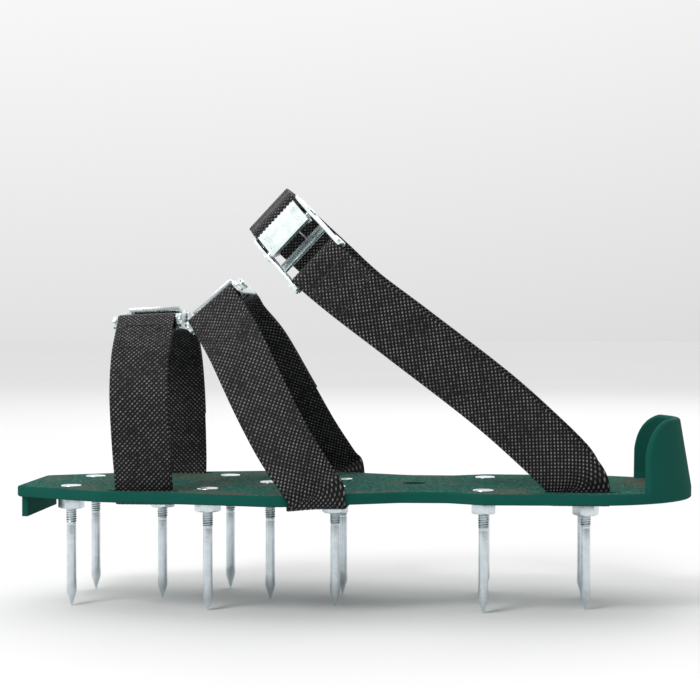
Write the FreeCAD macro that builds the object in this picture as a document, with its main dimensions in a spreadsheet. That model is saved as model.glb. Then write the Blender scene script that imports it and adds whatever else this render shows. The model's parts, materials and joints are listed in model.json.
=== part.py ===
import FreeCAD, Part
import math
import os

import Sketcher
from FreeCAD import Placement, Rotation, Vector

# A strap-on lawn aerator sandal: a flat sole plate on twelve steel spikes, and three webbing straps
# with cam buckles, shaped as they lie round a boot. Millimetres, +Z up, toe towards -X, heel
# towards +X. The origin is on the ground under the middle of the plate, level with the spike tips.

SIZES = {
    # sole plate, half-widths from the centre line
    "deck_under": 48, "deck_top": 52.8,
    "toe_x": 148, "toe_half": 27.5,
    "shoulder_x": 106, "shoulder_half": 50,
    "vamp_x": 63, "vamp_half": 58,
    "ball_x": 33, "ball_half": 65,
    "ball_rear_x": 26,
    "waist_x": 22, "waist_half": 43,
    "waist_rear_x": 42, "waist_rear_half": 42.5,
    "arch_x": 57, "arch_half": 50.5,
    "heel_x": 99, "heel_round": 49,
    "plan_corner": 5, "rim_round": 1.0,
    # toe lip under the front edge
    "lip_setback": 2.4, "lip_thick": 2.5, "lip_depth": 8.7, "lip_half": 27,
    # heel cup
    "cup_high": 30, "cup_lean": 5, "cup_wall": 4, "cup_front_x": 125.5, "cup_rim_round": 1.5,
    "cup_plumb": 3,
    # strap slots
    "slot_long": 30, "slot_wide": 4,
    "toe_slot_x": -87.7, "toe_slot_y": 46.2, "heel_slot_x": 98, "heel_slot_y": 38.2,
    # where the middle strap folds under the edge of the waist
    "waist_fold_x": -12.4,
    # spikes, heights above the tip
    "tip_round": 2.2, "tip_long": 6.4, "shank_round": 2.1, "shank_start": 12,
    "thread_start": 36, "thread_round": 2.35,
    "head_under": 51.65, "head_round": 4.7, "head_top": 53.2,
    "hole_round": 2.6, "recess_round": 5.3, "recess_deep": 1.2, "spare_hole_x": 26,
    # hex nuts
    "nut_flats": 10, "nut_high": 5, "nut_bore": 2.42, "nut_gap": 0.05,
    # webbing
    "strap_wide": 25, "strap_thick": 1.5, "strap_gap": 0.15,
    # cam buckle: x across, y along the webbing, z away from the foot
    "buckle_inside": 25.6, "cheek_thick": 1.2,
    "bar_y": -16.5, "bar_z": 3.6, "bar_round": 2, "knob_round": 2.9, "knob_thick": 1,
    "brace_y": -3.6, "brace_long": 4.2, "brace_thick": 1.4,
    "lip_y": 13.5, "lip_z": 3.4, "lip_half_thick": 1.2, "lip_long": 4.1,
    "pin_y": 5.6, "pin_z": 5.7, "pin_round": 1.4, "rivet_round": 2.6, "rivet_thick": 0.7,
    "pin_fit": 0.03, "lever_fit": 0.05,
    "lever_wide": 22.6, "lever_thick": 1.5, "ear_round": 3, "ear_thick": 1.5, "ear_gap": 19.2,
    "scallop_round": 0.75, "scallop_pitch": 1.9,
    "wire": 0.7, "coil_round": 1.95, "coil_pitch": 0.95, "coil_turns": 4, "coil_x": 4,
}

# Spikes: (x, y, whether the nut clamps webbing under the deck). The rear row stands in the heel.
SPIKES = [
    (-124, -25, False), (-124, 25, False), (-88, 0, True), (-62, -34, False), (-62, 34, False),
    (-39, 0, False), (-8, -19, True), (-8, 19, True), (57, -33, False), (57, 33, False),
    (101, -20, True), (101, 20, True),
]

# Cheek of the buckle frame in (y, z), from the rear bar round to the lip.
CHEEK = [
    (-19.2, 2.0), (-17.6, 0.2), (17.6, 0.2), (19.0, 1.6), (19.0, 6.0), (15.0, 8.2), (9.6, 8.9),
    (1.8, 8.9), (-4.5, 7.0), (-18.0, 6.6), (-19.2, 5.2),
]
# Cam lever in (y, z): the top plate slopes down to its toothed front edge.
LEVER_PLATE = [(-0.7, 9.05), (16.3, 6.7), (16.5, 8.2), (-0.5, 10.55)]
LEVER_EAR = [(2.7, 5.7), (8.5, 5.7), (8.5, 8.5), (2.7, 9.3)]

# Each strap: where its buckle sits (above the deck top), the buckle's along and across directions,
# the leg's middle line from the buckle down (x, distance from the centre line, height above the
# deck, across direction on the near side), and the points that the far side adds over the crown.
STRAPS = {
    "toe": {
        "seat": (-90.4, -4.3, 67.9), "along": (0, 0.999, -0.04), "across": (1, 0, 0.045),
        "leg": [
            (-90.3, 33.0, 66.6, (1, 0, 0.04)), (-89.8, 43.5, 56.4, (1, 0, 0.03)),
            (-89.3, 49.2, 41.0, (1, 0, 0.02)), (-88.5, 49.0, 22.0, (1, 0, 0.01)),
            (-87.8, 46.7, 6.0, (1, 0, 0)),
        ],
        "crown": [(-90.4, 25.0, 68.6, (1, 0, 0.04))],
        "slot": ("toe_slot_x", "toe_slot_y"), "tail": 70,
    },
    "middle": {
        "seat": (-57.8, -6.1, 75.7), "along": (0.03, 0.999, 0), "across": (0.755, 0, 0.655),
        "leg": [
            (-55.4, 32.5, 71.0, (0.80, 0.05, 0.60)), (-47.6, 43.0, 60.0, (0.86, 0.10, 0.50)),
            (-36.3, 52.0, 39.0, (0.89, 0.20, 0.41)), (-25.5, 57.3, 20.0, (0.90, 0.30, 0.30)),
            (-14.2, 60.5, 3.5, (0.91, 0.39, 0.12)),
        ],
        "crown": [(-57.6, 24.0, 76.6, (0.77, 0.02, 0.64))],
        "slot": None, "tail": 75,
    },
    "heel": {
        "seat": (-21.9, -20.1, 104.8), "along": (-0.546, 0.609, 0.574), "across": (0.69, -0.06, 0.72),
        "leg": [
            (0, 39.8, 84.8, (0.66, 0, 0.75)), (23, 41.3, 67.4, (0.656, 0, 0.755)),
            (59.3, 41.3, 39.5, (0.66, 0, 0.75)), (82.7, 40.0, 18.8, (0.72, 0, 0.69)),
            (96.4, 38.5, 5.0, (0.95, 0, 0.31)),
        ],
        "crown": [
            (-38.6, 4.0, 121.4, (0.68, -0.02, 0.73)), (-35.6, 17.0, 118.8, (0.68, 0, 0.73)),
            (-27, 28.0, 110.2, (0.67, 0, 0.74)), (-14.5, 35.6, 98.3, (0.66, 0, 0.75)),
        ],
        "slot": ("heel_slot_x", "heel_slot_y"), "tail": 90,
    },
}

doc = FreeCAD.newDocument("lawn_aerator_sandal")
sheet = doc.addObject("Spreadsheet::Sheet", "Sizes")
for row, (alias, amount) in enumerate(SIZES.items(), 1):
    sheet.set(f"A{row}", alias)
    sheet.set(f"B{row}", str(amount))
    sheet.setAlias(f"B{row}", alias)
doc.recompute()
parts = {}


def size(alias):
    return float(sheet.get(alias))


def bind(obj, **formulas):
    """Ties properties of an object to cells of the sheet; _ stands for a dot in a property's path."""
    for name, formula in formulas.items():
        obj.setExpression(name.replace("_", "."), formula)
    return obj


def keep(name, obj):
    obj.Label = name
    parts[name] = obj
    return obj


# ---------------------------------------------------------------- sketches and simple solids


def sketch_on(body, role, name, lift=None):
    """Empty sketch on one of the body's origin planes, raised by a cell of the sheet."""
    sk = body.newObject("Sketcher::SketchObject", name)
    plane = next(f for f in body.Origin.OriginFeatures if f.Role == role)
    sk.AttachmentSupport = [(plane, "")]
    sk.MapMode = "FlatFace"
    if lift:
        sk.setExpression("AttachmentOffset.Base.z", lift)
    return sk


def term(text):
    """Value of "cell" or "-cell"."""
    return -size(text[1:]) if text.startswith("-") else size(text)


def formula(text):
    return f"-Sizes.{text[1:]}" if text.startswith("-") else f"Sizes.{text}"


def draw_polygon(sk, corners):
    """Closed polygon whose corners are pairs of cells; a cell given as 0 puts the corner on an axis."""
    spots = [Vector(*(0 if c == 0 else term(c) for c in corner), 0) for corner in corners]
    for i, spot in enumerate(spots):
        sk.addGeometry(Part.LineSegment(spot, spots[(i + 1) % len(spots)]), False)
    for i in range(len(spots)):
        sk.addConstraint(Sketcher.Constraint("Coincident", i, 2, (i + 1) % len(spots), 1))
    for i, corner in enumerate(corners):
        for kind, axis, cell in (("DistanceX", -2, corner[0]), ("DistanceY", -1, corner[1])):
            if cell == 0:
                sk.addConstraint(Sketcher.Constraint("PointOnObject", i, 1, axis))
                continue
            at = sk.addConstraint(Sketcher.Constraint(kind, -1, 1, i, 1, term(cell)))
            sk.setExpression(f"Constraints[{at}]", formula(cell))


def draw_circle(sk, x, y, radius):
    """Circle at a plain point with its radius tied to a cell."""
    at = sk.addGeometry(Part.Circle(Vector(x, y, 0), Vector(0, 0, 1), size(radius)), False)
    tie = sk.addConstraint(Sketcher.Constraint("Radius", at, size(radius)))
    sk.setExpression(f"Constraints[{tie}]", f"Sizes.{radius}")
    for kind, amount, axis in (("DistanceX", x, -2), ("DistanceY", y, -1)):
        if amount:
            sk.addConstraint(Sketcher.Constraint(kind, -1, 1, at, 3, amount))
        else:
            sk.addConstraint(Sketcher.Constraint("PointOnObject", at, 3, axis))


def box(name, low, **formulas):
    """Part::Box from a low corner given as three formulas."""
    obj = doc.addObject("Part::Box", name)
    for axis, text in zip("xyz", low):
        obj.setExpression(f"Placement.Base.{axis}", text)
    return bind(obj, **formulas)


def rod(name, x, y, z, **formulas):
    """Part::Cylinder that runs along +x from a point given as three formulas."""
    obj = doc.addObject("Part::Cylinder", name)
    obj.Placement = Placement(Vector(), Rotation(Vector(0, 1, 0), 90))
    for axis, text in zip("xyz", (x, y, z)):
        obj.setExpression(f"Placement.Base.{axis}", text)
    return bind(obj, **formulas)


def across_prism(name, outline, width):
    """Prism of a (y, z) outline, centred on x = 0 and as wide as the formula."""
    sk = doc.addObject("Sketcher::SketchObject", f"{name}_outline")
    sk.Placement = Placement(Vector(), Rotation(Vector(1, 1, 1), 120))
    spots = [Vector(y, z, 0) for y, z in outline]
    for i, spot in enumerate(spots):
        sk.addGeometry(Part.LineSegment(spot, spots[(i + 1) % len(spots)]), False)
        sk.addConstraint(Sketcher.Constraint("Block", i))
    for i in range(len(spots)):
        sk.addConstraint(Sketcher.Constraint("Coincident", i, 2, (i + 1) % len(spots), 1))
    obj = doc.addObject("Part::Extrusion", name)
    obj.Base = sk
    obj.DirMode = "Normal"
    obj.Solid = True
    obj.Symmetric = True
    return bind(obj, LengthFwd=width)


def joined(name, *shapes):
    obj = doc.addObject("Part::MultiFuse", name)
    obj.Shapes = list(shapes)
    return obj


def cut(name, base, tool):
    obj = doc.addObject("Part::Cut", name)
    obj.Base = base
    obj.Tool = tool
    return obj


# ---------------------------------------------------------------- sole plate


def fillet_where(body, name, base, radius, wanted):
    """Rounds the edges of a feature that the test picks."""
    doc.recompute()
    picked = [f"Edge{i}" for i, e in enumerate(base.Shape.Edges, 1) if wanted(e)]
    obj = body.newObject("PartDesign::Fillet", name)
    obj.Base = (base, picked)
    obj.setExpression("Radius", f"Sizes.{radius}")
    return obj


def is_upright(edge):
    span = edge.BoundBox
    return span.XLength < 1e-6 and span.YLength < 1e-6


def is_rim(edge):
    """On the plate's outline, at its top or bottom."""
    span = edge.BoundBox
    to_face = min(abs(span.ZMin - size("deck_under")), abs(span.ZMin - size("deck_top")))
    return span.ZLength < 1e-6 and to_face < 1e-6


def make_deck():
    """Flat plate with its outline, rounded corners, strap slots, spike holes and head recesses."""
    body = doc.addObject("PartDesign::Body", "deck")
    half = [
        ("-toe_x", "toe_half"), ("-shoulder_x", "shoulder_half"), ("-vamp_x", "vamp_half"),
        ("-ball_x", "ball_half"), ("-ball_rear_x", "ball_half"), ("waist_x", "waist_half"),
        ("waist_rear_x", "waist_rear_half"), ("arch_x", "arch_half"), ("heel_x", "heel_round"),
    ]
    outline = sketch_on(body, "XY_Plane", "deck_outline", "Sizes.deck_under")
    draw_polygon(outline, half + [(x, f"-{y}") for x, y in reversed(half)])
    plate = bind(body.newObject("PartDesign::Pad", "plate"), Length="Sizes.deck_top - Sizes.deck_under")
    plate.Profile = outline
    heel = body.newObject("PartDesign::AdditiveCylinder", "heel_end")
    heel.AttachmentSupport = outline.AttachmentSupport
    heel.MapMode = "FlatFace"
    heel.setExpression("AttachmentOffset.Base.x", "Sizes.heel_x")
    heel.setExpression("AttachmentOffset.Base.z", "Sizes.deck_under")
    bind(heel, Radius="Sizes.heel_round", Height="Sizes.deck_top - Sizes.deck_under")
    corners = fillet_where(body, "plan_corners", heel, "plan_corner", lambda e: is_upright(e)
                           and e.BoundBox.XMin < size("heel_x") - 1)
    rim = fillet_where(body, "rim_rounds", corners, "rim_round", is_rim)

    slots = sketch_on(body, "XY_Plane", "slot_outlines", "Sizes.deck_under")
    for x_cell, y_cell in (("toe_slot_x", "toe_slot_y"), ("heel_slot_x", "heel_slot_y")):
        for side in (-1, 1):
            draw_slot(slots, x_cell, y_cell, side)
    slot_cut = body.newObject("PartDesign::Pocket", "slot_cut")
    slot_cut.Profile = slots
    slot_cut.Reversed = True
    bind(slot_cut, Length="Sizes.deck_top - Sizes.deck_under")

    stations = [(x, y) for x, y, _ in SPIKES] + [(size("spare_hole_x"), 0)]
    for name, radius, low, deep in (
        ("spike_holes", "hole_round", "Sizes.deck_under", "Sizes.deck_top - Sizes.deck_under"),
        ("head_recesses", "recess_round", "Sizes.deck_top - Sizes.recess_deep", "Sizes.recess_deep"),
    ):
        circles = sketch_on(body, "XY_Plane", f"{name}_outlines", low)
        for x, y in stations:
            draw_circle(circles, x, y, radius)
        pocket = body.newObject("PartDesign::Pocket", name)
        pocket.Profile = circles
        pocket.Reversed = True
        bind(pocket, Length=deep)
    body.Tip = pocket
    return body


def draw_slot(sk, x_cell, y_cell, side):
    """Strap slot with square corners, long side along x, on one side of the centre line."""
    x, y = size(x_cell), side * size(y_cell)
    half_long, half_wide = size("slot_long") / 2, size("slot_wide") / 2
    start = sk.GeometryCount
    ring = [Vector(x + a * half_long, y + b * half_wide, 0)
            for a, b in ((-1, -1), (1, -1), (1, 1), (-1, 1))]
    for i, spot in enumerate(ring):
        sk.addGeometry(Part.LineSegment(spot, ring[(i + 1) % 4]), False)
    for i in range(4):
        sk.addConstraint(Sketcher.Constraint("Coincident", start + i, 2, start + (i + 1) % 4, 1))
        sk.addConstraint(Sketcher.Constraint("Vertical" if i % 2 else "Horizontal", start + i))
    for kind, ends, amount, text in (
        ("DistanceX", (-1, 1, start, 1), ring[0].x, f"Sizes.{x_cell} - Sizes.slot_long / 2"),
        ("DistanceY", (-1, 1, start, 1), ring[0].y, f"{side} * Sizes.{y_cell} - Sizes.slot_wide / 2"),
        ("DistanceX", (start, 1, start, 2), 2 * half_long, "Sizes.slot_long"),
        ("DistanceY", (start + 1, 1, start + 1, 2), 2 * half_wide, "Sizes.slot_wide"),
    ):
        tie = sk.addConstraint(Sketcher.Constraint(kind, *ends, amount))
        sk.setExpression(f"Constraints[{tie}]", text)


def make_toe_lip():
    """Wall that hangs under the toe, set back from the front edge."""
    return box(
        "toe_lip",
        ("-Sizes.toe_x + Sizes.lip_setback", "-Sizes.lip_half", "Sizes.deck_under - Sizes.lip_depth"),
        Length="Sizes.lip_thick", Width="2 * Sizes.lip_half", Height="Sizes.lip_depth + 1",
    )


def cone(name, radius, low, high):
    """Upright frustum round the heel's centre that narrows by the cup's lean."""
    obj = doc.addObject("Part::Cone", name)
    obj.setExpression("Placement.Base.x", "Sizes.heel_x")
    obj.setExpression("Placement.Base.z", low)
    return bind(obj, Radius1=radius, Radius2=f"{radius} - Sizes.cup_lean", Height=high)


def make_heel_cup():
    """Wall round the heel, flush with the rim, leaning in, with its front edges swept back."""
    foot = doc.addObject("Part::Cylinder", "cup_foot")
    foot.setExpression("Placement.Base.x", "Sizes.heel_x")
    foot.setExpression("Placement.Base.z", "Sizes.deck_under + Sizes.rim_round")
    bind(foot, Radius="Sizes.heel_round", Height="Sizes.deck_top - Sizes.deck_under - Sizes.rim_round")
    outside = cone("cup_outside", "Sizes.heel_round", "Sizes.deck_top", "Sizes.cup_high")
    inner_round, plumb_top = "(Sizes.heel_round - Sizes.cup_wall)", "Sizes.deck_top + Sizes.cup_plumb"
    plumb = doc.addObject("Part::Cylinder", "cup_plumb")
    plumb.setExpression("Placement.Base.x", "Sizes.heel_x")
    plumb.setExpression("Placement.Base.z", "Sizes.deck_top")
    bind(plumb, Radius=inner_round, Height="Sizes.cup_plumb")
    inside = cone("cup_inside", inner_round, plumb_top, "Sizes.cup_high - Sizes.cup_plumb")
    wall = cut("cup_wall", joined("cup_block", foot, outside), joined("cup_space", plumb, inside))
    front, top = size("cup_front_x"), size("deck_top") + size("cup_high")
    low, bend = size("deck_under"), size("deck_top") + 0.45 * size("cup_high")
    reach = size("toe_x") + 5
    edge = Part.Wire([
        Part.makeLine(Vector(front, 0, low), Vector(front, 0, bend)),
        swept_edge(front, bend, top),
        Part.makeLine(Vector(front + 16, 0, top + 1), Vector(reach, 0, top + 1)),
        Part.makeLine(Vector(reach, 0, top + 1), Vector(reach, 0, low)),
        Part.makeLine(Vector(reach, 0, low), Vector(front, 0, low)),
    ])
    room = doc.addObject("Part::Feature", "cup_room")
    room.Shape = Part.Face(edge).extrude(Vector(0, 120, 0))
    room.Placement = Placement(Vector(0, -60, 0), Rotation())
    cup = doc.addObject("Part::Common", "cup_trimmed")
    cup.Base, cup.Tool = wall, room
    doc.recompute()
    rounded = doc.addObject("Part::Fillet", "cup_rounded")
    rounded.Base = cup
    radius = size("cup_rim_round")
    rounded.Edges = [
        (i, radius, radius) for i, e in enumerate(cup.Shape.Edges, 1)
        if e.BoundBox.ZMin > bend - 1 and e.Length > 2 * size("cup_wall")
    ]
    return rounded


def swept_edge(front, bend, top):
    """Curve of the cup's front edge, from upright at the bend to nearly level at the top."""
    curve = Part.BezierCurve()
    curve.setPoles([Vector(front, 0, bend), Vector(front + 1, 0, top - 6), Vector(front + 6, 0, top + 1),
                    Vector(front + 16, 0, top + 1)])
    return curve.toShape()


# ---------------------------------------------------------------- spikes and nuts


def make_spike(name, x, y):
    """Flat head, threaded neck, plain shank and conical point, turned about its own axis."""
    body = doc.addObject("PartDesign::Body", name)
    half = sketch_on(body, "XZ_Plane", f"{name}_half")
    draw_polygon(half, [
        (0, 0), ("tip_round", "tip_long"), ("shank_round", "shank_start"),
        ("shank_round", "thread_start"), ("thread_round", "thread_start"),
        ("thread_round", "head_under"), ("head_round", "head_under"), ("head_round", "head_top"),
        (0, "head_top"),
    ])
    turned = body.newObject("PartDesign::Revolution", f"{name}_turned")
    turned.Profile = half
    turned.ReferenceAxis = (half, ["V_Axis"])
    turned.Angle = 360
    body.Tip = turned
    body.Placement = Placement(Vector(x, y, 0), Rotation())
    return body


def make_nut(name, x, y, clamps_webbing, angle):
    """Hex nut with both faces chamfered, under the deck or under the webbing that it clamps."""
    prism = doc.addObject("Part::Prism", f"{name}_hex")
    prism.Polygon = 6
    bind(prism, Circumradius="Sizes.nut_flats / sqrt(3)", Height="Sizes.nut_high")
    hexagon = prism
    for end, small in (("lower", True), ("upper", False)):
        taper = doc.addObject("Part::Cone", f"{name}_{end}_taper")
        narrow, wide = "0.49 * Sizes.nut_flats", "0.49 * Sizes.nut_flats + 1.7 * Sizes.nut_high"
        bind(taper, Height="Sizes.nut_high", Radius1=narrow if small else wide,
             Radius2=wide if small else narrow)
        chamfered = doc.addObject("Part::Common", f"{name}_{end}")
        chamfered.Base, chamfered.Tool = hexagon, taper
        hexagon = chamfered
    bore = bind(doc.addObject("Part::Cylinder", f"{name}_bore"), Radius="Sizes.nut_bore",
                Height="Sizes.nut_high")
    nut = cut(name, hexagon, bore)
    nut.Placement = Placement(Vector(x, y, 0), Rotation(Vector(0, 0, 1), angle))
    under = "Sizes.deck_under - Sizes.nut_high - Sizes.nut_gap"
    if clamps_webbing:
        under += " - Sizes.strap_thick - Sizes.strap_gap"
    nut.setExpression("Placement.Base.z", under)
    return nut


# ---------------------------------------------------------------- cam buckles


def buckle_place(strap):
    """Frame of a buckle: x across, y along the webbing towards the lip, z away from the foot."""
    along = Vector(*strap["along"]).normalize()
    out = Vector(*strap["across"]).cross(along).normalize()
    across = along.cross(out)
    seat = Vector(*strap["seat"]) + Vector(0, 0, size("deck_top"))
    return Placement(seat, Rotation(across, along, out, "ZYX"))


def make_frame(name, place):
    """Stamped frame: two cheeks joined by a brace, the grip lip and the rear bar."""
    outer = "Sizes.buckle_inside + 2 * Sizes.cheek_thick"
    cheeks = cut(
        f"{name}_cheeks",
        across_prism(f"{name}_block", CHEEK, outer),
        box(f"{name}_gap", ("-Sizes.buckle_inside / 2", "-30", "-5"), Length="Sizes.buckle_inside",
            Width="60", Height="25"),
    )
    brace = box(f"{name}_brace", ("-Sizes.buckle_inside / 2 - 0.5", "Sizes.brace_y", "0.2"),
                Length="Sizes.buckle_inside + 1", Width="Sizes.brace_long", Height="Sizes.brace_thick")
    lip = box(f"{name}_lip", ("-Sizes.buckle_inside / 2 - 0.5", "Sizes.lip_y",
                              "Sizes.lip_z - Sizes.lip_half_thick"),
              Length="Sizes.buckle_inside + 1", Width="Sizes.lip_long",
              Height="2 * Sizes.lip_half_thick")
    lip_edge = rod(f"{name}_lip_edge", "-Sizes.buckle_inside / 2 - 0.5", "Sizes.lip_y", "Sizes.lip_z",
                   Radius="Sizes.lip_half_thick", Height="Sizes.buckle_inside + 1")
    half = "Sizes.buckle_inside / 2 + Sizes.cheek_thick"
    bar = rod(f"{name}_bar", f"-({half})", "Sizes.bar_y", "Sizes.bar_z", Radius="Sizes.bar_round",
              Height=f"2 * ({half})")
    knobs = [
        rod(f"{name}_knob_{side}", start, "Sizes.bar_y", "Sizes.bar_z", Radius="Sizes.knob_round",
            Height="Sizes.knob_thick")
        for side, start in (("left", f"-({half}) - Sizes.knob_thick"), ("right", half))
    ]
    hole = rod(f"{name}_pin_hole", "-20", "Sizes.pin_y", "Sizes.pin_z",
               Radius="Sizes.pin_round + Sizes.pin_fit", Height="40")
    frame = cut(name, joined(f"{name}_stamping", cheeks, brace, lip, lip_edge, bar, *knobs), hole)
    frame.Placement = place
    return frame


def make_lever(name, place):
    """Cam lever: a sloping plate with a scalloped front edge, on two ears round the hinge pin."""
    plate = across_prism(f"{name}_plate", LEVER_PLATE, "Sizes.lever_wide")
    ears = cut(
        f"{name}_ears",
        joined(
            f"{name}_ear_block",
            across_prism(f"{name}_ear_web", LEVER_EAR, "Sizes.ear_gap + 2 * Sizes.ear_thick"),
            rod(f"{name}_knuckle", "-Sizes.ear_gap / 2 - Sizes.ear_thick", "Sizes.pin_y", "Sizes.pin_z",
                Radius="Sizes.ear_round", Height="Sizes.ear_gap + 2 * Sizes.ear_thick"),
        ),
        box(f"{name}_ear_space", ("-Sizes.ear_gap / 2", "-5", "-5"), Length="Sizes.ear_gap",
            Width="30", Height="25"),
    )
    bore = rod(f"{name}_bore", "-20", "Sizes.pin_y", "Sizes.pin_z",
               Radius="Sizes.pin_round + Sizes.lever_fit", Height="40")
    front_y, front_z = LEVER_PLATE[2]
    lean = math.degrees(math.atan2(LEVER_PLATE[2][0] - LEVER_PLATE[1][0],
                                   LEVER_PLATE[2][1] - LEVER_PLATE[1][1]))
    tools = [bore]
    count = int(size("lever_wide") / size("scallop_pitch")) + 1
    for i in range(count):
        notch = bind(doc.addObject("Part::Cylinder", f"{name}_scallop_{i}"),
                     Radius="Sizes.scallop_round", Height="3 * Sizes.lever_thick")
        notch.Placement = Placement(
            Vector((i - (count - 1) / 2) * size("scallop_pitch"), front_y, front_z),
            Rotation(Vector(1, 0, 0), -lean), Vector(0, 0, 0))
        notch.Placement.Base = notch.Placement.Base - notch.Placement.Rotation.multVec(
            Vector(0, 0, 1.5 * size("lever_thick")))
        tools.append(notch)
    lever = cut(name, joined(f"{name}_stamping", plate, ears), joined(f"{name}_cuts", *tools))
    lever.Placement = place
    return lever


def make_pin(name, place):
    """Hinge pin through both cheeks, peened over outside them."""
    half = "Sizes.buckle_inside / 2 + Sizes.cheek_thick + 0.05"
    shaft = rod(f"{name}_shaft", f"-({half})", "Sizes.pin_y", "Sizes.pin_z", Radius="Sizes.pin_round",
                Height=f"2 * ({half})")
    heads = [
        rod(f"{name}_head_{side}", start, "Sizes.pin_y", "Sizes.pin_z", Radius="Sizes.rivet_round",
            Height="Sizes.rivet_thick")
        for side, start in (("left", f"-({half}) - Sizes.rivet_thick"), ("right", half))
    ]
    pin = joined(name, shaft, *heads)
    pin.Placement = place
    return pin


# ---------------------------------------------------------------- bands of webbing and wire


def triangle(a, b, c):
    return Part.Face(Part.makePolygon([a, b, c, a]))


def ribbon(stations, thick):
    """Solid band through stations (centre, half-width vector), square to its own run."""
    rings = []
    for i, (centre, side) in enumerate(stations):
        run = stations[min(i + 1, len(stations) - 1)][0] - stations[max(i - 1, 0)][0]
        up = run.cross(side).normalize() * (thick / 2)
        rings.append([centre + side + up, centre - side + up, centre - side - up, centre + side - up])
    faces = [Part.Face(Part.makePolygon(ring + ring[:1])) for ring in (rings[0], rings[-1])]
    for near, far in zip(rings, rings[1:]):
        for k in range(4):
            m = (k + 1) % 4
            faces += [triangle(near[k], near[m], far[m]), triangle(near[k], far[m], far[k])]
    shell = Part.makeCompound(faces)
    shell.sewShape()
    solid = Part.makeSolid(shell.Shells[0])
    if solid.Volume < 0:
        solid.reverse()
    return solid


def smooth(points, step=4):
    """Catmull-Rom curve through (centre, side) pairs; the first and last pair only steer it."""
    out = []
    for before, a, b, after in zip(points, points[1:], points[2:], points[3:]):
        count = max(2, round((b[0] - a[0]).Length / step))
        for k in range(count):
            t = k / count
            out.append(tuple(
                (a[i] * 2 + (b[i] - before[i]) * t
                 + (before[i] * 2 - a[i] * 5 + b[i] * 4 - after[i]) * t ** 2
                 + (a[i] * 3 - before[i] - b[i] * 3 + after[i]) * t ** 3) * 0.5
                for i in (0, 1)
            ))
    out.append(points[-2])
    return out


def with_width(stations, wide):
    return [(centre, side * (wide / 2 / side.Length)) for centre, side in stations]


def layer(stations, first_way, start_gap, gap, hold, fade, length):
    """Copy of a band moved off it, square to side and run: by start_gap at first, then fading to gap."""
    out, run = [], 0
    for i, (centre, side) in enumerate(stations):
        if i:
            run += (centre - stations[i - 1][0]).Length
        if run > length:
            break
        step = stations[min(i + 1, len(stations) - 1)][0] - stations[max(i - 1, 0)][0]
        out_dir = side.cross(step).normalize() if i else first_way
        t = min(1, max(0, (run - hold) / fade))
        off = start_gap + (gap - start_gap) * t * t * (3 - 2 * t)
        out.append((centre + out_dir * off, side))
    return out


def half_turn(centre, away, out, radius, side, steps=8):
    """Webbing round a bar, from its foot side to its outer side; both ends leave along away."""
    angles = [math.pi * k / steps for k in range(1, steps)]
    return [(centre - out * (radius * math.cos(a)) - away * (radius * math.sin(a)), side) for a in angles]


def fold(corner, inward, side, steps=5):
    """Quarter turn round the deck's lower edge, from the side of the deck to under it."""
    inset, radius = 0.3, 0.3 + size("strap_gap") + size("strap_thick") / 2
    centre = corner + inward * inset + Vector(0, 0, inset)
    out = []
    for k in range(steps + 1):
        angle = math.pi / 2 * k / steps
        out.append((centre - inward * (radius * math.cos(angle)) - Vector(0, 0, radius * math.sin(angle)),
                    side))
    return out


def deck_corner(strap):
    """Lower edge of the deck that the near leg turns round: the point, its inward way, its run."""
    if strap["slot"]:
        x, y = (size(cell) for cell in strap["slot"])
        return Vector(x, -(y - size("slot_wide") / 2), size("deck_under")), Vector(0, 1, 0), Vector(1, 0, 0)
    run = Vector(size("waist_x") + size("ball_rear_x"), size("ball_half") - size("waist_half"), 0)
    run.normalize()
    x = size("waist_fold_x")
    y = -size("ball_half") + (x + size("ball_rear_x")) * run.y / run.x
    return Vector(x, y, size("deck_under")), Vector(-run.y, run.x, 0), run


def mirrored(stations):
    """Near side to far side."""
    return [tuple(Vector(v.x, -v.y, v.z) for v in station) for station in stations]


def strap_route(strap):
    """Stations of one strap, from its sewn end, round the bar, under the deck, to its free tail."""
    place = buckle_place(strap)
    across, along, out = (place.Rotation.multVec(Vector(*axis)) for axis in
                          ((1, 0, 0), (0, 1, 0), (0, 0, 1)))
    thick, lift = size("strap_thick"), Vector(0, 0, size("deck_top"))
    bar = place.multVec(Vector(0, size("bar_y"), size("bar_z")))
    bar_turn = size("bar_round") + 0.25 + thick / 2
    lip = place.multVec(Vector(0, size("lip_y"), size("lip_z")))
    lip_turn = size("lip_half_thick") + 0.25 + thick / 2

    leg = [(Vector(x, -y, z) + lift, Vector(*side)) for x, y, z, side in strap["leg"]]
    crown = [(Vector(x, -y, z) + lift, Vector(*side)) for x, y, z, side in strap["crown"]]
    corner, inward, run = deck_corner(strap)
    edge = fold(corner, inward, run)
    landing = [(edge[0][0] + Vector(0, 0, 4), run), edge[0], edge[1]]

    down = leg[0][0] - bar
    down = (down - across * down.dot(across)).normalize()
    outward = down.cross(across)
    near_top = bar + outward * bar_turn
    near = smooth([(near_top - down * 4, across), (near_top, across)] + leg + landing)[:-1] + edge[:-1]
    far_top = lip - out * lip_turn
    far = smooth([(far_top + along * shift, across) for shift in (-4, 0, 4.5, 9)]
                 + mirrored(crown + leg + landing))[:-1] + mirrored(edge[:-1])
    under = [edge[-1], (Vector(edge[-1][0].x, 0.6 * edge[-1][0].y, edge[-1][0].z), Vector(1, 0, 0))]
    under += mirrored(under[::-1])

    sewn = layer(near, -outward, 2 * bar_turn, thick + 0.25, 0, 10, 27)
    tail = layer(far, out, 2 * lip_turn, thick + 0.4, 6, 10, strap["tail"])
    route = sewn[::-1] + half_turn(bar, down, outward, bar_turn, across) + near + under
    route += far[::-1] + half_turn(lip, along, out, lip_turn, across) + tail
    return with_width(route, size("strap_wide"))


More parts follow.
